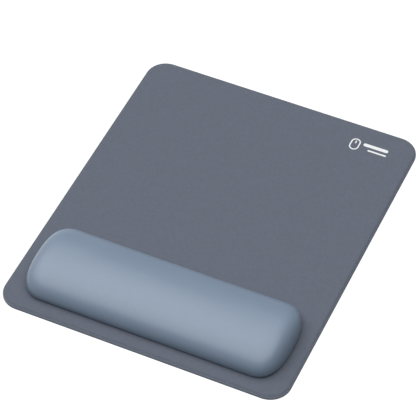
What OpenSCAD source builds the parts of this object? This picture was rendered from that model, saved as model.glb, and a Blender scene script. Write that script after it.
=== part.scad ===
// Mouse mat with a padded wrist rest fixed along its front edge.
// Millimetres. +X right, +Y away from the user, +Z up.
// The origin is the centre of the underside, on the desk.

/* [Mat] */
// Width of the mat, left to right
mat_w = 209.5; // [200:0.5:260]
// Depth of the mat, front to back
mat_d = 251.4; // [200:0.2:320]
// Radius of the mat's corners in plan
mat_corner_r = 15; // [8:0.5:30]
// Thickness of the rubber non-slip backing
backing_t = 0.7; // [0.4:0.1:1.2]
// Thickness of the foam core
foam_t = 2.1; // [1.6:0.1:4]
// Thickness of the film that bonds the fabric to the foam
film_t = 0.1; // [0.05:0.05:0.2]
// Thickness of the top fabric
fabric_t = 0.6; // [0.3:0.1:0.8]
// Radius at which the fabric rolls over the mat's edge
rim_r = 2.2; // [1.2:0.1:2.6]
// Height of the fabric's lower edge above the desk
skirt_gap = 0.2; // [0.1:0.1:0.5]
// Gap between the backing and the fabric's skirt
backing_play = 0.1; // [0.05:0.05:0.3]

/* [Cushion] */
// Length of the cushion, left to right
cushion_l = 188.8; // [150:0.2:190]
// Depth of the cushion, front to back
cushion_w = 62.8; // [50:0.2:80]
// Height of the cushion above the mat
cushion_h = 18; // [16:0.5:26]
// Bare strip of mat in front of the cushion
front_margin = 10.5; // [6:0.1:20]
// Length of each rounded end in plan
end_cap = 19; // [18:0.5:28]
// Squareness of the ends in plan, 2 for an ellipse and more for a squarer end
end_squareness = 2.7; // [2:0.05:4]
// Fullness of the cross section, 2 for an ellipse and more for a fuller one
crown = 2.22; // [2:0.01:3]
// How far the top draws in from each end
end_slope = 16; // [8:0.5:16.5]
// Fullness of the ends seen from the front
end_crown = 2.75; // [2:0.05:3.5]
// Radius at which the cover tucks under at the mat
tuck_r = 2; // [1.5:0.1:2.2]

/* [Inside the cushion] */
// Thickness of the cover
cover_t = 0.9; // [0.6:0.1:1.2]
// Width of the cover's hem, turned in under the board
hem_w = 8; // [4:0.5:12]
// Thickness of the sheet that bonds the cushion to the mat
bond_t = 0.2; // [0.1:0.1:0.4]
// How far the bonding sheet stays inside the cushion's outline
bond_inset = 3; // [2.5:0.5:6]
// Thickness of the stiff board under the padding
board_t = 1.2; // [1:0.1:2]
// Thickness of the firm foam under the gel
support_t = 4.5; // [3:0.5:6]
// Thickness of the film that the gel is sealed in
pouch_t = 0.3; // [0.2:0.1:0.5]
// Play between the layers
play = 0.05; // [0.02:0.01:0.1]

/* [Printed mark] */
// Length of the printed mark, left to right
mark_l = 28; // [20:0.5:40]
// Height of the printed mark
mark_h = 11; // [8:0.5:14]
// Gap between the mark and the mat's right edge
mark_side = 19; // [16:0.5:40]
// Gap between the mark and the mat's back edge
mark_back = 14.5; // [12:0.5:40]
// Thickness of the ink
ink_t = 0.1; // [0.05:0.05:0.2]
// Width of the drawn lines
line_w = 0.9; // [0.6:0.1:1.2]

/* [Hidden] */
$fn = 64;

// heights of the mat's layers
foam_z = backing_t;
film_z = foam_z + foam_t;
fabric_z = film_z + film_t;
mat_top_z = fabric_z + fabric_t;
roll_z = mat_top_z - rim_r;
backing_g = fabric_t + backing_play;

// heights of the cushion's layers
cover_z = mat_top_z + bond_t;
hem_top_z = cover_z + cover_t;
board_top_z = hem_top_z + board_t;
support_top_z = board_top_z + support_t;
pouch_floor_z = support_top_z + pouch_t;
widest_z = cover_z + tuck_r;
cushion_top_z = mat_top_z + cushion_h;

// plan of the cushion
half_w = cushion_w / 2;
half_straight = cushion_l / 2 - end_cap;
cushion_y = -mat_d / 2 + front_margin + half_w;

// parts of the printed mark
icon_w = 0.64 * mark_h;
bar_l = mark_l - icon_w - 2.5 * line_w;
thin_l = 0.75 * bar_l;
thick_bar = mark_h / 4;
thin_bar = mark_h / 8;
bar_lift = mark_h / 5;

// depths of the layers below the cover's outer surface
pouch_outer_g = cover_t + play;
pouch_inner_g = pouch_outer_g + pouch_t;
gel_g = pouch_inner_g + play;
board_g = tuck_r + play;
opening_g = tuck_r + hem_w;

// points round each ring, and the angle at which a dome stops at a small flat top
RING = 48;
TOP_ANGLE = 84;
OUTER_STEPS = 11;
INNER_STEPS = 9;
TUCK_STEPS = 3;

// ---------------------------------------------------------------- plan shapes

// A rectangle with round corners, centred on the origin
module rounded_rect(w, d, r) {
    square([w - 2 * r, d], center = true);
    square([w, d - 2 * r], center = true);
    for (sx = [-1, 1], sy = [-1, 1])
        translate([sx * (w / 2 - r), sy * (d / 2 - r)]) circle(r);
}

// Sweeps a profile round the mat's outline; its x is measured out from the corner's centre
module round_the_rim() {
    for (k = [0:3]) {
        along = (k % 2 == 0 ? mat_w : mat_d) - 2 * mat_corner_r;
        across = (k % 2 == 0 ? mat_d : mat_w) - 2 * mat_corner_r;
        rotate(90 * k) {
            translate([-along / 2, across / 2, 0]) rotate([90, 0, 90]) linear_extrude(along) children();
            translate([along / 2, across / 2, 0]) rotate_extrude(angle = 90) children();
        }
    }
}

// A quarter disc in the first quadrant, with a hole of inner_r
module quarter_ring(outer_r, inner_r) {
    intersection() {
        difference() {
            circle(outer_r);
            if (inner_r > 0) circle(inner_r);
        }
        square(outer_r);
    }
}

// ------------------------------------------------------------- cushion shapes

// A point of a superellipse quadrant: power of a sine or cosine, with its sign kept
function swell(v, n) = sign(v) * pow(abs(v), 2 / n);

// One ring of the cushion: dep is its half depth, cap its end's length, z its height
function ring_point(i, dep, cap, z) =
    let (a = 360 * (i + 0.5) / RING)
    [
        sign(cos(a)) * half_straight + cap * swell(cos(a), end_squareness),
        dep * swell(sin(a), end_squareness) + cushion_y,
        z
    ];

// A level [dep, cap, z] on the dome that lies g under the cover's outer surface
function dome_level(g, a) = [
    (half_w - g) * swell(cos(a), crown),
    end_cap - g - end_slope * (1 - swell(cos(a), end_crown)),
    widest_z + (cushion_top_z - g - widest_z) * swell(sin(a) / sin(TOP_ANGLE), crown)
];

// The dome's angle at height z
function dome_angle(g, z) =
    asin(sin(TOP_ANGLE) * pow(max(0, z - widest_z) / (cushion_top_z - g - widest_z), crown / 2));

// A level on the tucked lower edge, from -90 at the bottom to 0 at the widest
function tuck_level(g, a) =
    let (inset = tuck_r - (tuck_r - g) * cos(a))
    [half_w - inset, end_cap - inset, widest_z + (tuck_r - g) * sin(a)];

// A level of the plan outline drawn in by g
function flat_level(g, z) = [half_w - g, end_cap - g, z];

// Levels up a dome between two angles
function dome(g, from, to, steps) =
    [for (k = [0:steps]) dome_level(g, from + (to - from) * k / steps)];

function tuck(g) = [for (k = [0:TUCK_STEPS - 1]) tuck_level(g, 90 * (k / TUCK_STEPS - 1))];

function backwards(list) = [for (k = [len(list) - 1:-1:0]) list[k]];

// Joins rings in order into one closed solid; the first and last are flat caps
module ring_stack(levels) {
    last = len(levels) - 1;
    points = [for (l = levels) for (i = [0:RING - 1]) ring_point(i, l[0], l[1], l[2])];
    sides = [
        for (k = [0:last - 1], i = [0:RING - 1])
            let (a = k * RING + i, b = k * RING + (i + 1) % RING)
            each [[a, a + RING, b + RING], [a, b + RING, b]]
    ];
    first_cap = [for (i = [0:RING - 1]) i];
    last_cap = [for (i = [RING - 1:-1:0]) last * RING + i];
    polyhedron(points, concat([first_cap], sides, [last_cap]), convexity = 6);
}

// The cushion's plan drawn in by g, as a flat plate
module plan_plate(g, z, t) {
    translate([0, 0, z]) linear_extrude(t) polygon([
        for (i = [0:RING - 1]) let (p = ring_point(i, half_w - g, end_cap - g, 0)) [p[0], p[1]]
    ]);
}

// -------------------------------------------------------------------- the mat

module mat_grip_backing() {
    color("#25272b")
        linear_extrude(backing_t)
            rounded_rect(mat_w - 2 * backing_g, mat_d - 2 * backing_g, mat_corner_r - backing_g);
}

module mat_foam_core() {
    color("#33363b") {
        translate([0, 0, foam_z])
            linear_extrude(foam_t)
                rounded_rect(mat_w - 2 * rim_r, mat_d - 2 * rim_r, mat_corner_r - rim_r);
        round_the_rim() translate([mat_corner_r - rim_r, 0]) {
            translate([0, foam_z]) square([rim_r - fabric_t, roll_z - foam_z]);
            translate([0, roll_z]) intersection() {
                quarter_ring(rim_r - fabric_t, 0);
                square([rim_r, rim_r - fabric_t - film_t]);
            }
        }
    }
}

module mat_bond_film() {
    color("#b9b9b2")
        translate([0, 0, film_z])
            linear_extrude(film_t)
                rounded_rect(mat_w - 2 * rim_r, mat_d - 2 * rim_r, mat_corner_r - rim_r);
}

module mat_top_fabric() {
    color("#696f7b") {
        translate([0, 0, fabric_z])
            linear_extrude(fabric_t)
                rounded_rect(mat_w - 2 * rim_r, mat_d - 2 * rim_r, mat_corner_r - rim_r);
        round_the_rim() translate([mat_corner_r - rim_r, 0]) {
            translate([0, roll_z]) quarter_ring(rim_r, rim_r - fabric_t);
            translate([rim_r - fabric_t, skirt_gap]) square([fabric_t, roll_z - skirt_gap]);
        }
    }
}

// A bar with round ends, centred on the origin
module round_bar(l, w) {
    square([l - w, w], center = true);
    for (end = [-1, 1])
        translate([end * (l - w) / 2, 0]) circle(w / 2);
}

// A plain mouse outline with its wheel, then a thick bar over a thinner, shorter one
module printed_mark() {
    color("#f4f5f6")
        translate([mat_w / 2 - mark_side, mat_d / 2 - mark_back - mark_h / 2, mat_top_z])
            linear_extrude(ink_t) {
                translate([icon_w / 2 - mark_l, 0]) rotate(90) {
                    difference() {
                        round_bar(mark_h, icon_w);
                        round_bar(mark_h - 2 * line_w, icon_w - 2 * line_w);
                    }
                    translate([bar_lift, 0]) round_bar(thick_bar, line_w);
                }
                translate([-bar_l / 2, bar_lift]) round_bar(bar_l, thick_bar);
                translate([-thin_l / 2, -bar_lift]) round_bar(thin_l, thin_bar);
            }
}

// ---------------------------------------------------------------- the cushion

module cushion_bond_sheet() {
    color("#c8c6ba") plan_plate(bond_inset, mat_top_z, bond_t);
}

// A stiff board whose underside is rebated to take the cover's hem
module cushion_base_board() {
    color("#3b3e44") {
        plan_plate(board_g, hem_top_z, board_t);
        plan_plate(opening_g + play, cover_z, cover_t);
    }
}

module cushion_support_foam() {
    low = dome_angle(pouch_outer_g, board_top_z);
    high = dome_angle(pouch_outer_g, support_top_z);
    color("#8d9096") ring_stack(dome(pouch_outer_g, low, high, 3));
}

module gel_pouch_backing() {
    color("#d5d9dd")
        ring_stack(dome(
            pouch_outer_g,
            dome_angle(pouch_outer_g, support_top_z),
            dome_angle(pouch_outer_g, pouch_floor_z),
            1
        ));
}

module gel_pad() {
    color("#7fa6c4")
        ring_stack(dome(gel_g, dome_angle(gel_g, pouch_floor_z), TOP_ANGLE, INNER_STEPS));
}

module gel_pouch_skin() {
    inside = dome(pouch_inner_g, dome_angle(pouch_inner_g, pouch_floor_z), TOP_ANGLE, INNER_STEPS);
    outside = dome(pouch_outer_g, dome_angle(pouch_outer_g, pouch_floor_z), TOP_ANGLE, INNER_STEPS);
    color("#dfe5ea") ring_stack(concat(backwards(inside), outside));
}

module cushion_cover() {
    color("#94a2b6")
        ring_stack(concat(
            backwards(concat(tuck(cover_t), dome(cover_t, 0, TOP_ANGLE, INNER_STEPS))),
            [flat_level(opening_g, hem_top_z), flat_level(opening_g, cover_z)],
            tuck(0),
            dome(0, 0, TOP_ANGLE, OUTER_STEPS)
        ));
}

mat_grip_backing();
mat_foam_core();
mat_bond_film();
mat_top_fabric();
printed_mark();
cushion_bond_sheet();
cushion_base_board();
cushion_support_foam();
gel_pouch_backing();
gel_pad();
gel_pouch_skin();
cushion_cover();
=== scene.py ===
"""A mouse mat with a padded wrist rest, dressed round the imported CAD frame."""
import math

import bpy
import numpy as np
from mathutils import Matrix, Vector, geometry, kdtree


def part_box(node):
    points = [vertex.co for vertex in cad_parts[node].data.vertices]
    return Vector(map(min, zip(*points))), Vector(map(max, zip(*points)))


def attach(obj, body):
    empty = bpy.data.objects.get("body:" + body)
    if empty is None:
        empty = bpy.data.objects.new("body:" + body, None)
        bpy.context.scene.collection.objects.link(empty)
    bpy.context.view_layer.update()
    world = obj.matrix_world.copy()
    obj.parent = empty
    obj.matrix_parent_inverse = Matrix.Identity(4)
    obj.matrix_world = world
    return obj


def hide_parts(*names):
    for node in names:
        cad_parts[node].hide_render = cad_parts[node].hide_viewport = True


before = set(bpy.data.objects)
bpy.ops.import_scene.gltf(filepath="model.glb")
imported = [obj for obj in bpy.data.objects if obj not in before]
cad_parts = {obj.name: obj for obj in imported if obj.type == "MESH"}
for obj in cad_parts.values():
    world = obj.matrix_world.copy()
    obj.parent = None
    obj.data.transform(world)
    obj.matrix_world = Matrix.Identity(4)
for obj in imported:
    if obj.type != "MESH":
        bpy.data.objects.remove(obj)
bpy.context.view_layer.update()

MM = 0.001
BODY = "root"

# ------------------------------------------------------------------ dimensions
# Places and overall sizes follow the CAD nodes' boxes; the rest are the shapes' own sizes.
mat_low, mat_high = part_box("mat_top_fabric")
grip_low, grip_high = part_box("mat_grip_backing")
cover_low, cover_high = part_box("cushion_cover")

MAT_CORNER_R = 15 * MM          # corners of the mat in plan
RIM_R = 2.2 * MM                # the fabric's roll over the mat's edge
FABRIC_T = 0.6 * MM

LAND_PITCH = 4.6 * MM           # raised squares under the mat
LAND_W = 3.6 * MM
LAND_CORNER = 0.8 * MM
LAND_DEPTH = 0.25 * MM
LAND_DRAFT = 0.12 * MM
LAND_MARGIN = 2 * MM            # plain band round the underside

END_CAP = 19 * MM               # length of each rounded end of the cushion
END_SQUARENESS = 2.7            # plan of the ends, 2 for an ellipse and more for a squarer end
CROWN = 2.22                    # cross section, 2 for an ellipse and more for a fuller one
END_SLOPE = 16 * MM             # how far the top draws in from each end
END_CROWN = 2.75
TUCK_H = 2.3 * MM               # the cover tucks under from this height down to the mat
TUCK_SIDE = 1.2 * MM            # how far it draws in there along its length
TUCK_END = 6.1 * MM             # and at its ends
COVER_T = 0.9 * MM
INNER_TUCK_R = 2 * MM           # the inner skin follows the CAD cover, clear of the pieces inside
HEM_OPENING = 10 * MM           # from the cushion's outline in to the hem's edge

# ---------------------------------------------------------------------- meshes


def new_object(name, verts, faces, mat=None, smooth=True):
    """A mesh object made from points and faces, in the scene."""
    mesh = bpy.data.meshes.new(name)
    mesh.from_pydata([tuple(v) for v in verts], [], faces)
    mesh.validate()
    mesh.polygons.foreach_set("use_smooth", [smooth] * len(mesh.polygons))
    mesh.update()
    obj = bpy.data.objects.new(name, mesh)
    bpy.context.scene.collection.objects.link(obj)
    if mat:
        mesh.materials.append(mat)
    return obj


def ring_faces(rings, size):
    """Quads between rings of equal size, each ring running anticlockwise seen from above."""
    faces = []
    for k in range(rings - 1):
        for i in range(size):
            j = (i + 1) % size
            faces.append((k * size + i, k * size + j, (k + 1) * size + j, (k + 1) * size + i))
    return faces


def bridge_faces(first, size, flip=False):
    """Closes a ring that is symmetric about y by joining each point to its mirror image."""
    faces = []
    for i in range(size // 2 - 1):
        quad = (first + i, first + i + 1, first + size - 2 - i, first + size - 1 - i)
        faces.append(quad[::-1] if flip else quad)
    return faces


# ------------------------------------------------------------------- materials


def material(name, rough, **sockets):
    """A Principled material; constants go straight on the shader's own sockets."""
    mat = bpy.data.materials.new(name)
    mat.use_nodes = True
    shader = mat.node_tree.nodes["Principled BSDF"]
    shader.inputs["Roughness"].default_value = rough
    for key, value in sockets.items():
        shader.inputs[key.replace("_", " ")].default_value = value
    return mat, mat.node_tree, shader


def add(tree, kind, **props):
    """A new shader node with its properties set."""
    node = tree.nodes.new(kind)
    for key, value in props.items():
        setattr(node, key, value)
    return node


def math_node(tree, operation, *values):
    """The result of an operation on numbers or on other nodes' results."""
    node = add(tree, "ShaderNodeMath", operation=operation)
    for socket, value in zip(node.inputs, values):
        if isinstance(value, (int, float)):
            socket.default_value = value
        else:
            tree.links.new(value, socket)
    return node.outputs[0]


def object_coords(tree):
    return add(tree, "ShaderNodeTexCoord").outputs["Object"]


def axis(tree, vector, name):
    """One coordinate of a vector."""
    split = add(tree, "ShaderNodeSeparateXYZ")
    tree.links.new(vector, split.inputs[0])
    return split.outputs[name]


def noise(tree, vector, size, detail=2.0, rough=0.5):
    """Cloudy noise whose blotches are about size metres across."""
    node = add(tree, "ShaderNodeTexNoise")
    node.inputs["Scale"].default_value = 1 / size
    node.inputs["Detail"].default_value = detail
    node.inputs["Roughness"].default_value = rough
    tree.links.new(vector, node.inputs["Vector"])
    return node.outputs["Fac"]


def cells(tree, vector, size, smoothness=0.3):
    """Distance to the nearest of many scattered points: 0 in the middle of a cell, more at its edges."""
    node = add(tree, "ShaderNodeTexVoronoi", feature="SMOOTH_F1")
    node.inputs["Scale"].default_value = 1 / size
    node.inputs["Smoothness"].default_value = smoothness
    tree.links.new(vector, node.inputs["Vector"])
    return node.outputs["Distance"]


def ramp(tree, fac, stops):
    """Colours at the given places along a value from 0 to 1."""
    node = add(tree, "ShaderNodeValToRGB")
    elements = node.color_ramp.elements
    while len(elements) < len(stops):
        elements.new(0.5)
    for element, (place, colour) in zip(elements, stops):
        element.position = place
        element.color = (*colour, 1)
    tree.links.new(fac, node.inputs["Fac"])
    return node.outputs["Color"]


def remap(tree, value, low, high, to_low, to_high):
    """Takes low to to_low and high to to_high, straight between them and level beyond."""
    node = add(tree, "ShaderNodeMapRange")
    for socket, number in zip(list(node.inputs)[1:], (low, high, to_low, to_high)):
        socket.default_value = number
    tree.links.new(value, node.inputs["Value"])
    return node.outputs["Result"]


def tint(tree, colour, factor):
    """Multiplies a colour by a factor that varies over the surface."""
    node = add(tree, "ShaderNodeMix", data_type="RGBA", blend_type="MULTIPLY")
    node.inputs["Factor"].default_value = 1
    tree.links.new(colour, node.inputs[6])
    tree.links.new(factor, node.inputs[7])
    return node.outputs[2]


def bump(tree, shader, height, depth):
    """Relief of depth metres between heights 0 and 1."""
    node = add(tree, "ShaderNodeBump")
    node.inputs["Strength"].default_value = 1
    node.inputs["Distance"].default_value = depth
    tree.links.new(height, node.inputs["Height"])
    tree.links.new(node.outputs["Normal"], shader.inputs["Normal"])


def shade(colour, k):
    """A colour made k times as bright."""
    return tuple(c * k for c in colour)


def cloth_coords(tree):
    """Coordinates on the flat cloth: where it turns down over the rim, they run on outward."""
    coords = add(tree, "ShaderNodeTexCoord")
    drop = math_node(tree, "SUBTRACT", mat_high.z, axis(tree, coords.outputs["Object"], "Z"))
    outward = add(tree, "ShaderNodeVectorMath", operation="SCALE")
    tree.links.new(coords.outputs["Normal"], outward.inputs["Vector"])
    tree.links.new(drop, outward.inputs["Scale"])
    total = add(tree, "ShaderNodeVectorMath", operation="ADD")
    tree.links.new(coords.outputs["Object"], total.inputs[0])
    tree.links.new(outward.outputs["Vector"], total.inputs[1])
    return total.outputs["Vector"]


WEAVE_PITCH = 0.45 * MM         # between threads
THREAD_ROUNDNESS = 0.4          # the lower, the flatter the threads' tops


def weave(tree, vector):
    """A plain weave, from 0 to 1 high: threads along x and along y come to the top in turn."""
    turns = [math_node(tree, "MULTIPLY", axis(tree, vector, k), math.pi / WEAVE_PITCH) for k in "XY"]
    waves = [math_node(tree, "SINE", turn) for turn in turns]
    across, along = [math_node(tree, "ABSOLUTE", wave) for wave in waves]
    y_thread = math_node(tree, "MULTIPLY", across, math_node(tree, "POWER", along, THREAD_ROUNDNESS))
    x_thread = math_node(tree, "MULTIPLY", along, math_node(tree, "POWER", across, THREAD_ROUNDNESS))
    y_on_top = math_node(tree, "GREATER_THAN", math_node(tree, "MULTIPLY", *waves), 0)
    node = add(tree, "ShaderNodeMix", data_type="FLOAT")
    for k, value in ((0, y_on_top), (2, x_thread), (3, y_thread)):
        tree.links.new(value, node.inputs[k])
    return node.outputs[0]


FABRIC_COLOUR = (0.125, 0.142, 0.180)
FABRIC_ROUGH_BETWEEN = 0.95     # between the threads
FABRIC_ROUGH_ON_TOP = 0.8       # and on top of them
HEATHER_SIZE = 2.2 * MM         # of the faint mottle
WEAVE_RELIEF = 0.05 * MM
# Painted light: the cloth is painted up to this many times paler at the foot of its rolled rim, standing
# in for light that falls there.
RIM_PAINTED_LIGHT = 3.2                 # how many times paler the cloth is at the foot of the rolled rim
RIM_PAINTED_LIGHT_BELOW = 0.4 * MM      # below the mat's top, where it starts

COVER_COLOUR = (0.184, 0.246, 0.335)
COVER_ROUGH = 0.41
COVER_ROUGH_VARIES = 0.015
COVER_SPECULAR = 0.81
COVER_CLOUD_SIZE = 18 * MM
COVER_GRAIN_SIZE = 0.7 * MM
COVER_GRAIN_RELIEF = 0.012 * MM

RUBBER_COLOUR = (0.040, 0.042, 0.047)
RUBBER_GRAIN_SIZE = 0.5 * MM
RUBBER_GRAIN_RELIEF = 0.04 * MM

INK_COLOUR = (0.86, 0.87, 0.89)
INK_MOTTLE_SIZE = 1.2 * MM
INK_RELIEF = 0.03 * MM

ROUGHNESS_PATCH = 12 * MM       # of the plastics, foams and films


def fabric_material():
    """Fine matte cloth, faintly mottled, with painted light that makes it paler down its rolled rim."""
    mat, tree, shader = material("mat_cloth", 0.85, Specular_IOR_Level=0.2)
    vector = cloth_coords(tree)
    height = weave(tree, vector)
    heather = ramp(tree, noise(tree, vector, HEATHER_SIZE, 4, 0.65),
                   [(0.3, shade(FABRIC_COLOUR, 0.94)), (0.7, shade(FABRIC_COLOUR, 1.06))])
    colour = tint(tree, heather, remap(tree, height, 0, 1, 0.86, 1.06))
    # Painted light: the colour is made paler down the rolled rim, most at its foot, standing in for light
    # that falls there.
    paler = remap(tree, axis(tree, object_coords(tree), "Z"),
                  mat_high.z - RIM_R, mat_high.z - RIM_PAINTED_LIGHT_BELOW, RIM_PAINTED_LIGHT, 1.0)
    tree.links.new(tint(tree, colour, paler), shader.inputs["Base Color"])
    roughness = remap(tree, height, 0, 1, FABRIC_ROUGH_BETWEEN, FABRIC_ROUGH_ON_TOP)
    tree.links.new(roughness, shader.inputs["Roughness"])
    bump(tree, shader, height, WEAVE_RELIEF)
    return mat


def leatherette_material():
    """Satin coated cloth with a very fine grain."""
    mat, tree, shader = material("satin_leatherette", COVER_ROUGH, Specular_IOR_Level=COVER_SPECULAR)
    vector = object_coords(tree)
    cloudy = noise(tree, vector, COVER_CLOUD_SIZE, 3, 0.5)
    colour = ramp(tree, cloudy, [(0.3, shade(COVER_COLOUR, 0.985)), (0.7, shade(COVER_COLOUR, 1.015))])
    grain = cells(tree, vector, COVER_GRAIN_SIZE, 0.6)
    colour = tint(tree, colour, remap(tree, grain, 0.1, 0.7, 1.02, 0.95))
    tree.links.new(colour, shader.inputs["Base Color"])
    roughness = remap(tree, cloudy, 0.3, 0.7,
                      COVER_ROUGH - COVER_ROUGH_VARIES, COVER_ROUGH + COVER_ROUGH_VARIES)
    tree.links.new(roughness, shader.inputs["Roughness"])
    bump(tree, shader, math_node(tree, "MULTIPLY", grain, -1), COVER_GRAIN_RELIEF)
    return mat


def rubber_material():
    """Matte rubber, rubbed a little paler where the lands touch the desk."""
    mat, tree, shader = material("grip_rubber_look", 0.75)
    vector = object_coords(tree)
    speckle = noise(tree, vector, RUBBER_GRAIN_SIZE, 4, 0.7)
    base = ramp(tree, speckle, [(0.35, shade(RUBBER_COLOUR, 0.8)), (0.65, shade(RUBBER_COLOUR, 1.25))])
    rubbed = remap(tree, axis(tree, vector, "Z"), 0, LAND_DEPTH, 1.6, 1.0)
    tree.links.new(tint(tree, base, rubbed), shader.inputs["Base Color"])
    bump(tree, shader, speckle, RUBBER_GRAIN_RELIEF)
    return mat


def ink_material():
    """White screen print that lets the cloth's weave show through."""
    mat, tree, shader = material("screen_print", 0.6)
    vector = cloth_coords(tree)
    height = weave(tree, vector)
    mottle = noise(tree, vector, INK_MOTTLE_SIZE, 3, 0.6)
    base = ramp(tree, mottle, [(0.3, shade(INK_COLOUR, 0.94)), (0.6, INK_COLOUR)])
    tree.links.new(tint(tree, base, remap(tree, height, 0, 1, 0.9, 1.0)), shader.inputs["Base Color"])
    bump(tree, shader, height, INK_RELIEF)
    return mat


def grained_material(name, colour, rough, size, depth, contrast=0.12, cellular=False, **sockets):
    """Plastic, foam or film: a colour that varies a little, over a fine relief of the same pattern."""
    mat, tree, shader = material(name, rough, **sockets)
    vector = object_coords(tree)
    pattern = cells(tree, vector, size) if cellular else noise(tree, vector, size, 3, 0.6)
    base = ramp(tree, pattern, [(0.25, shade(colour, 1 - contrast)), (0.65, shade(colour, 1 + contrast))])
    tree.links.new(base, shader.inputs["Base Color"])
    roughness = remap(tree, noise(tree, vector, ROUGHNESS_PATCH), 0.3, 0.7, rough - 0.05, rough + 0.05)
    tree.links.new(roughness, shader.inputs["Roughness"])
    bump(tree, shader, pattern, depth)
    return mat


# --------------------------------------------------------------------- cushion

half_l = (cover_high.x - cover_low.x) / 2
half_w = (cover_high.y - cover_low.y) / 2
cushion_y = (cover_high.y + cover_low.y) / 2
straight = half_l - END_CAP     # where each rounded end begins, out from the middle
widest_z = cover_low.z + TUCK_H
top_z = cover_high.z


def swell(v, power):
    """A cosine or sine bent so that a circle becomes a superellipse of that power."""
    return np.sign(v) * np.abs(v) ** (2 / power)


def spread(count, power):
    """Angles from 0 to 90 degrees whose points are evenly spaced along a superellipse quadrant."""
    angles = np.linspace(0, math.pi / 2, 2001)
    x, y = swell(np.cos(angles), power), swell(np.sin(angles), power)
    length = np.concatenate([[0], np.cumsum(np.hypot(np.diff(x), np.diff(y)))])
    return np.interp(np.linspace(0, length[-1], count), length, angles)


def cushion_outline(end_steps=22, side_steps=44):
    """Rows of (x of the straight part, share of the cap, share of the depth) round the plan."""
    # Half a step clear of both axes, so that a point and its mirror image never coincide.
    angles = spread(2 * end_steps + 1, END_SQUARENESS)[1::2]
    cos, sin = swell(np.cos(angles), END_SQUARENESS), swell(np.sin(angles), END_SQUARENESS)
    right = [(straight, c, s) for c, s in zip(cos, sin)]
    side = [(x, 0.0, 1.0) for x in np.linspace(straight, -straight, side_steps)]
    left = [(-straight, -c, s) for c, s in zip(cos[::-1], sin[::-1])]
    far = right + side + left
    near = [(x, c, -s) for x, c, s in far[::-1]]
    return np.array(far + near)


OUTLINE = cushion_outline()


def cushion_ring(half_depth, cap, z):
    """One level ring of the cushion, with rounded ends of length cap."""
    return np.stack([
        OUTLINE[:, 0] + cap * OUTLINE[:, 1],
        cushion_y + half_depth * OUTLINE[:, 2],
        np.full(len(OUTLINE), z),
    ], 1)


def dome_rings(inset, count):
    """The crowned part, from its widest level up to just under its top."""
    rings = []
    for a in spread(count, CROWN)[:-1]:
        rings.append(cushion_ring(
            (half_w - inset) * swell(np.cos(a), CROWN),
            END_CAP - inset - END_SLOPE * (1 - swell(np.cos(a), END_CROWN)),
            widest_z + (top_z - inset - widest_z) * swell(np.sin(a), CROWN),
        ))
    return rings


def tuck_rings(height, radii, inset, count):
    """The lower edge, turning in by the two radii: one along the cushion's length, one at its ends."""
    rings = []
    for a in np.linspace(-math.pi / 2, 0, count, endpoint=False):
        side, end = [r - (r - inset) * math.cos(a) for r in radii]
        z = cover_low.z + height + (height - inset) * math.sin(a)
        rings.append(cushion_ring(half_w - side, END_CAP - end, z))
    return rings


VOXEL = 4 * MM                  # of the coarse copy that is blown up
PRESSURE = 4
SIM_FRAMES = 20
SWELL_CAP = 1.2 * MM            # the most that a point of the cover may move
SINK_CAP = 0.4 * MM             # and the most that its top may sink towards the ends
BLEND_R = 6 * MM                # the blank's swelling is smoothed over this distance
BLEND_POINTS = 16               # and over this many of its points
INNER_STEPS = (4, 24)           # rings in the tuck and in the dome of the cover's two skins
OUTER_STEPS = (10, 48)


def swollen_blank(rings):
    """Blows up a coarse closed copy of the cover by cloth pressure; returns its points and moves."""
    size = len(OUTLINE)
    faces = ring_faces(len(rings), size) + bridge_faces(0, size, flip=True)
    faces += bridge_faces((len(rings) - 1) * size, size)
    blank = new_object("blank", np.concatenate(rings), faces)
    remesh = blank.modifiers.new("remesh", "REMESH")
    remesh.mode = "VOXEL"
    remesh.voxel_size = VOXEL
    coarse = bpy.data.meshes.new_from_object(blank.evaluated_get(bpy.context.evaluated_depsgraph_get()))
    blank.modifiers.clear()
    blank.data = coarse
    start = np.array([v.co[:] for v in coarse.vertices])

    # The lower edge is held still, and the rest is blown up.
    held = blank.vertex_groups.new(name="held")
    held.add([i for i, point in enumerate(start) if point[2] < widest_z], 1.0, "ADD")
    cloth = blank.modifiers.new("cloth", "CLOTH").settings
    cloth.vertex_group_mass = held.name
    cloth.use_pressure = True
    cloth.uniform_pressure_force = PRESSURE
    cloth.effector_weights.gravity = 0
    scene = bpy.context.scene
    for step in range(1, SIM_FRAMES + 1):
        scene.frame_set(step)
    pressed = blank.evaluated_get(bpy.context.evaluated_depsgraph_get()).data
    moves = np.array([v.co[:] for v in pressed.vertices]) - start
    reach = np.linalg.norm(moves, axis=1, keepdims=True)
    moves *= np.minimum(1, SWELL_CAP / np.maximum(reach, 1e-9))
    bpy.data.objects.remove(blank)
    scene.frame_set(1)
    return start, moves


def inflate(rings):
    """Carries the blank's swelling over to the fine cover, smoothed, without raising its top."""
    start, moves = swollen_blank(rings)
    tree = kdtree.KDTree(len(start))
    for i, point in enumerate(start):
        tree.insert(point, i)
    tree.balance()
    points = np.concatenate(rings)
    shift = np.zeros_like(points)
    for k, point in enumerate(points):
        near = tree.find_n(point, BLEND_POINTS)
        weights = np.array([math.exp(-(d / BLEND_R) ** 2) for _, _, d in near])
        shift[k] = weights @ moves[[i for _, i, _ in near]] / weights.sum()
    risen = points + shift

    # The higher a point lies, the more it is lowered, until the top is back at the CAD solid's.
    excess = max(risen[:, 2].max() - points[:, 2].max(), 0)
    share = np.clip((points[:, 2] - widest_z) / (top_z - widest_z), 0, 1)
    lowered = np.maximum(risen[:, 2] - excess * share, points[:, 2] - SINK_CAP)
    risen[:, 2] = np.minimum(risen[:, 2], lowered)
    return np.split(risen, len(rings))


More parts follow.
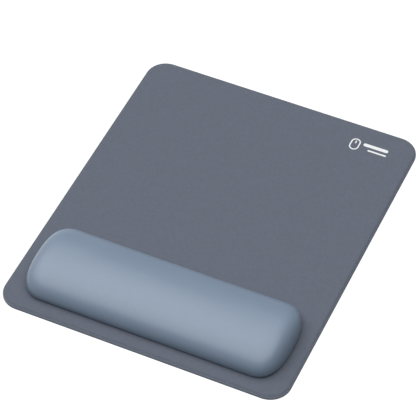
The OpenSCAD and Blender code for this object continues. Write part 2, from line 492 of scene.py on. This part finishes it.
def build_cover(mat):
    """The cover's outer skin, its hem turned in under the board, and its inner skin."""
    hem = [cushion_ring(half_w - HEM_OPENING, END_CAP - HEM_OPENING, z)
           for z in (cover_low.z + COVER_T, cover_low.z)]
    inner = tuck_rings(INNER_TUCK_R, (INNER_TUCK_R, INNER_TUCK_R), COVER_T, INNER_STEPS[0])
    inner += dome_rings(COVER_T, INNER_STEPS[1])
    outer = tuck_rings(TUCK_H, (TUCK_SIDE, TUCK_END), 0, OUTER_STEPS[0]) + dome_rings(0, OUTER_STEPS[1])
    outer = inflate(outer)
    rings = inner[::-1] + hem + outer
    size = len(OUTLINE)
    faces = ring_faces(len(rings), size)
    faces += bridge_faces(0, size, flip=True)
    faces += bridge_faces((len(rings) - 1) * size, size)
    return new_object("cushion_leatherette_cover", np.concatenate(rings), faces, mat)


# ------------------------------------------------------------------------- mat


def rounded_ring(half_x, half_y, corner_r, z, corner_steps=16, side_steps=24):
    """Points round a rectangle with round corners, anticlockwise from its right-hand side."""
    cx, cy = half_x - corner_r, half_y - corner_r
    turns = [(cx, cy), (-cx, cy), (-cx, -cy), (cx, -cy)]
    points = []
    for k, (x, y) in enumerate(turns):
        for a in np.radians(np.linspace(90 * k, 90 * k + 90, corner_steps)):
            points.append((x + corner_r * math.cos(a), y + corner_r * math.sin(a), z))
        ahead = turns[(k + 1) % 4]
        start = Vector(points[-1])
        goal = start + Vector((ahead[0] - x, ahead[1] - y, 0))
        points += [tuple(start.lerp(goal, t)) for t in np.linspace(0, 1, side_steps + 2)[1:-1]]
    return points


half_mat = Vector(((mat_high.x - mat_low.x) / 2, (mat_high.y - mat_low.y) / 2))

RIM_STEPS = 10
TOP_STEPS = 29
TOP_MIDDLE = 2 * MM             # half the width of the last face, along the mat's middle
LEAST_CORNER_R = 0.5 * MM


def mat_ring(inset, z):
    """The mat's outline drawn in by inset."""
    corner_r = max(MAT_CORNER_R - inset, LEAST_CORNER_R)
    return rounded_ring(half_mat.x - inset, half_mat.y - inset, corner_r, z)


def build_fabric(mat):
    """The cloth as one sheet: up its skirt, over the rolled rim and across the top."""
    rings = [mat_ring(0, mat_low.z), mat_ring(0, mat_high.z - RIM_R)]
    for a in np.radians(np.linspace(0, 90, RIM_STEPS + 1)[1:]):
        rings.append(mat_ring(RIM_R * (1 - math.cos(a)), mat_high.z - RIM_R * (1 - math.sin(a))))
    for inset in np.linspace(RIM_R, half_mat.x - TOP_MIDDLE, TOP_STEPS + 1)[1:]:
        rings.append(mat_ring(inset, mat_high.z))
    size = len(rings[0])
    faces = ring_faces(len(rings), size)
    faces.append(tuple(range((len(rings) - 1) * size, len(rings) * size)))
    obj = new_object("mat_fabric_sheet", np.concatenate(rings), faces, mat)
    solid = obj.modifiers.new("thickness", "SOLIDIFY")
    solid.thickness = FABRIC_T
    solid.offset = -1
    return obj


def land_outline(x, y, half, z):
    """A square with cut corners, eight points anticlockwise seen from above."""
    c = half - LAND_CORNER
    offsets = ((half, -c), (half, c), (c, half), (-c, half),
               (-half, c), (-half, -c), (-c, -half), (c, -half))
    return [(x + dx, y + dy, z) for dx, dy in offsets]


def build_grip(mat):
    """The rubber backing, with rows of low square lands on its underside."""
    half_x, half_y = grip_high.x, grip_high.y
    corner_r = MAT_CORNER_R - (half_mat.x - half_x)
    recess_z = grip_low.z + LAND_DEPTH
    verts, faces, place = [], [], {}

    def corner(i, j):
        """The grid's crossing at column i and row j, made once."""
        if (i, j) not in place:
            place[i, j] = len(verts)
            verts.append((i * LAND_PITCH, j * LAND_PITCH, recess_z))
        return place[i, j]

    def inside(i, j):
        """Whether a crossing keeps clear of the plain band round the edge."""
        x, y = abs(i * LAND_PITCH), abs(j * LAND_PITCH)
        over_x, over_y = max(x - half_x + corner_r, 0), max(y - half_y + corner_r, 0)
        return math.hypot(over_x, over_y) < corner_r - LAND_MARGIN

    reach = int(half_y / LAND_PITCH)
    filled = {(i, j) for i in range(-reach, reach) for j in range(-reach, reach)
              if all(inside(i + di, j + dj) for di in (0, 1) for dj in (0, 1))}

    # In each square of the grid: the groove's floor round the land, then its sides and its face.
    for i, j in sorted(filled):
        a, b, c, d = corner(i, j), corner(i + 1, j), corner(i + 1, j + 1), corner(i, j + 1)
        x, y = (i + 0.5) * LAND_PITCH, (j + 0.5) * LAND_PITCH
        foot = len(verts)
        verts.extend(land_outline(x, y, LAND_W / 2, recess_z))
        verts.extend(land_outline(x, y, LAND_W / 2 - LAND_DRAFT, grip_low.z))
        for k, (first, second) in enumerate(((b, c), (c, d), (d, a), (a, b))):
            f = foot + 2 * k
            faces.append((first, f, f + 1, second))
            faces.append((second, f + 1, foot + (2 * k + 2) % 8))
        for k in range(8):
            n = (k + 1) % 8
            faces.append((foot + k, foot + 8 + k, foot + 8 + n, foot + n))
        faces.append(tuple(range(foot + 15, foot + 7, -1)))

    # The plain band fills the gap between the outermost squares and the sheet's rim.
    rims = [rounded_ring(half_x - LAND_DRAFT, half_y - LAND_DRAFT, corner_r - LAND_DRAFT, recess_z),
            rounded_ring(half_x, half_y, corner_r, recess_z + LAND_DRAFT),
            rounded_ring(half_x, half_y, corner_r, grip_high.z)]
    size, first_rim = len(rims[0]), len(verts)

    # The edges of the filled squares that no two of them share.
    edge = set()
    for i, j in filled:
        turn = ((i, j), (i + 1, j), (i + 1, j + 1), (i, j + 1))
        edge.update((turn[k], turn[(k + 1) % 4]) for k in range(4))
    edge = sorted((p, q) for p, q in edge if (q, p) not in edge)
    border = sorted({p for pair in edge for p in pair})
    index = [place[p] for p in border] + [first_rim + k for k in range(size)]
    flat = [Vector(verts[place[p]][:2]) for p in border] + [Vector(p[:2]) for p in rims[0]]
    links = [(border.index(p), border.index(q)) for p, q in edge]
    links += [(len(border) + k, len(border) + (k + 1) % size) for k in range(size)]
    points, _, triangles, origins, _, _ = geometry.delaunay_2d_cdt(flat, links, [], 1, 1e-7)
    for tri in triangles:
        middle = sum((points[k] for k in tri), Vector((0, 0))) / len(tri)
        if (math.floor(middle.x / LAND_PITCH), math.floor(middle.y / LAND_PITCH)) not in filled:
            faces.append(tuple(index[origins[k][0]] for k in tri[::-1]))

    verts.extend(np.concatenate(rims))
    faces.extend(tuple(first_rim + k for k in face) for face in ring_faces(len(rims), size))
    faces.append(tuple(range(first_rim + 2 * size, first_rim + 3 * size)))
    return new_object("mat_grip_rubber", verts, faces, mat, smooth=False)


# ---------------------------------------------------------------------- pieces


def place_piece(obj, node):
    """Puts a Blender piece in its CAD node's place."""
    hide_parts(node)
    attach(obj, BODY)


fabric = build_fabric(fabric_material())
place_piece(fabric, "mat_top_fabric")

grip = build_grip(rubber_material())
place_piece(grip, "mat_grip_backing")

cover = build_cover(leatherette_material())
place_piece(cover, "cushion_cover")

NODE_LOOKS = {
    "mat_foam_core": grained_material("foam_look", (0.05, 0.053, 0.06), 0.9, 0.5 * MM, 0.1 * MM,
                                      cellular=True),
    "mat_bond_film": grained_material("milky_film", (0.62, 0.62, 0.58), 0.4, 3 * MM, 0.02 * MM, 0.04),
    "printed_mark": ink_material(),
    "cushion_bond_sheet": grained_material("adhesive", (0.58, 0.57, 0.50), 0.5, 2 * MM, 0.04 * MM, 0.06),
    "cushion_base_board": grained_material("board_look", (0.04, 0.042, 0.046), 0.45, 0.4 * MM, 0.03 * MM),
    "cushion_support_foam": grained_material("open_foam", (0.25, 0.26, 0.28), 0.95, 0.8 * MM, 0.3 * MM,
                                             0.2, cellular=True),
    "gel_pouch_backing": grained_material("pouch_film_back", (0.7, 0.75, 0.8), 0.2, 6 * MM, 0.05 * MM,
                                          0.03, Transmission_Weight=0.5),
    "gel_pad": grained_material("gel_look", (0.2, 0.38, 0.55), 0.2, 5 * MM, 0.05 * MM, 0.06,
                                Transmission_Weight=0.4),
    "gel_pouch_skin": grained_material("pouch_film_skin", (0.7, 0.75, 0.8), 0.2, 6 * MM, 0.05 * MM, 0.03,
                                       Transmission_Weight=0.5),
}
for node, look in NODE_LOOKS.items():
    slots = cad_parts[node].data.materials
    slots.clear()
    slots.append(look)

# ----------------------------------------------------------------------- stage

FLOOR_HALF = 5.0                # metres
FLOOR_ROUGH = 0.9
FLOOR_BOUNCE = 0.075            # light that the floor gives back to the object
WORLD_FILL = 0.19
WORLD_MIRRORED = 0.08           # how bright the world is in reflections
MIRRORED_FRONT = 0.12           # and the floor, at the front right of the object
MIRRORED_BACK = 1.1             # and at its back left, which the cushion's left end mirrors
MIRRORED_FROM = -0.15           # where the floor's change starts and ends, as y - x
MIRRORED_TO = 0.03


def white_when_seen(tree, mirrored):
    """1 where the camera sees a surface directly, and mirrored where it sees it in a reflection."""
    path = add(tree, "ShaderNodeLightPath")
    share = math_node(tree, "MULTIPLY", path.outputs["Is Glossy Ray"], mirrored)
    return math_node(tree, "MAXIMUM", path.outputs["Is Camera Ray"], share)


floor_mat, floor_tree, floor_shader = material(
    "floor", FLOOR_ROUGH, Specular_IOR_Level=0.0, Emission_Color=(1, 1, 1, 1))
floor_shader.inputs["Base Color"].default_value = (FLOOR_BOUNCE, FLOOR_BOUNCE, FLOOR_BOUNCE, 1)
on_floor = object_coords(floor_tree)
to_back_left = math_node(floor_tree, "SUBTRACT", *(axis(floor_tree, on_floor, k) for k in "YX"))
in_mirror = remap(floor_tree, to_back_left, MIRRORED_FROM, MIRRORED_TO, MIRRORED_FRONT, MIRRORED_BACK)
floor_tree.links.new(white_when_seen(floor_tree, in_mirror), floor_shader.inputs["Emission Strength"])
corners = [(-FLOOR_HALF, -FLOOR_HALF, 0), (FLOOR_HALF, -FLOOR_HALF, 0),
           (FLOOR_HALF, FLOOR_HALF, 0), (-FLOOR_HALF, FLOOR_HALF, 0)]
new_object("floor", corners, [(0, 1, 2, 3)], floor_mat, smooth=False)

world = bpy.data.worlds.new("studio")
world.use_nodes = True
bpy.context.scene.world = world
background = world.node_tree.nodes["Background"]
background.inputs["Color"].default_value = (1, 1, 1, 1)
sky = world.node_tree
brightness = math_node(sky, "ADD", white_when_seen(sky, WORLD_MIRRORED), WORLD_FILL)
sky.links.new(brightness, background.inputs["Strength"])

# ----------------------------------------------------------------------- light

# Angles in degrees, distance and widths in metres, powers in watts.
LIGHT_DISTANCE = 5.0
KEY_AZIMUTH = 285.4
KEY_ELEVATION = 86.8
KEY_WIDTH = 8.98
KEY_POWER = 348
BACK_AZIMUTH = 256.7
BACK_ELEVATION = 43.6
BACK_WIDTH = 5.98
BACK_POWER = 75


def compass(azimuth, elevation):
    """The direction out from the object: azimuth 0 is the front, 90 the right-hand side."""
    a, e = math.radians(azimuth), math.radians(elevation)
    return Vector((math.sin(a) * math.cos(e), -math.cos(a) * math.cos(e), math.sin(e)))


def softbox(name, azimuth, elevation, width, power):
    """A round softbox aimed at the object."""
    light = bpy.data.lights.new(name, "AREA")
    light.shape = "DISK"
    light.size = width
    light.energy = power
    box = bpy.data.objects.new(name, light)
    direction = compass(azimuth, elevation)
    box.location = direction * LIGHT_DISTANCE
    box.rotation_mode = "QUATERNION"
    box.rotation_quaternion = direction.to_track_quat("Z", "Y")
    bpy.context.scene.collection.objects.link(box)


softbox("key", KEY_AZIMUTH, KEY_ELEVATION, KEY_WIDTH, KEY_POWER)
softbox("back", BACK_AZIMUTH, BACK_ELEVATION, BACK_WIDTH, BACK_POWER)

# ---------------------------------------------------------------------- camera

# Angles in degrees, lens and sensor in millimetres, distances in metres.
CAMERA_AZIMUTH = 24.489
CAMERA_ELEVATION = 48.505
CAMERA_DISTANCE = 1.6178
CAMERA_LENS = 199.80
CAMERA_SENSOR = 36
CAMERA_TARGET = Vector((-7.71 * MM, 8.96 * MM, 0))
CAMERA_CLIP_START = 0.05

lens = bpy.data.cameras.new("camera")
lens.lens = CAMERA_LENS
lens.sensor_width = CAMERA_SENSOR
lens.clip_start = CAMERA_CLIP_START
camera = bpy.data.objects.new("camera", lens)
towards_camera = compass(CAMERA_AZIMUTH, CAMERA_ELEVATION)
camera.location = CAMERA_TARGET + towards_camera * CAMERA_DISTANCE
camera.rotation_mode = "QUATERNION"
camera.rotation_quaternion = (-towards_camera).to_track_quat("-Z", "Y")
bpy.context.scene.collection.objects.link(camera)
bpy.context.scene.camera = camera
bpy.context.scene.view_settings.view_transform = "Standard"
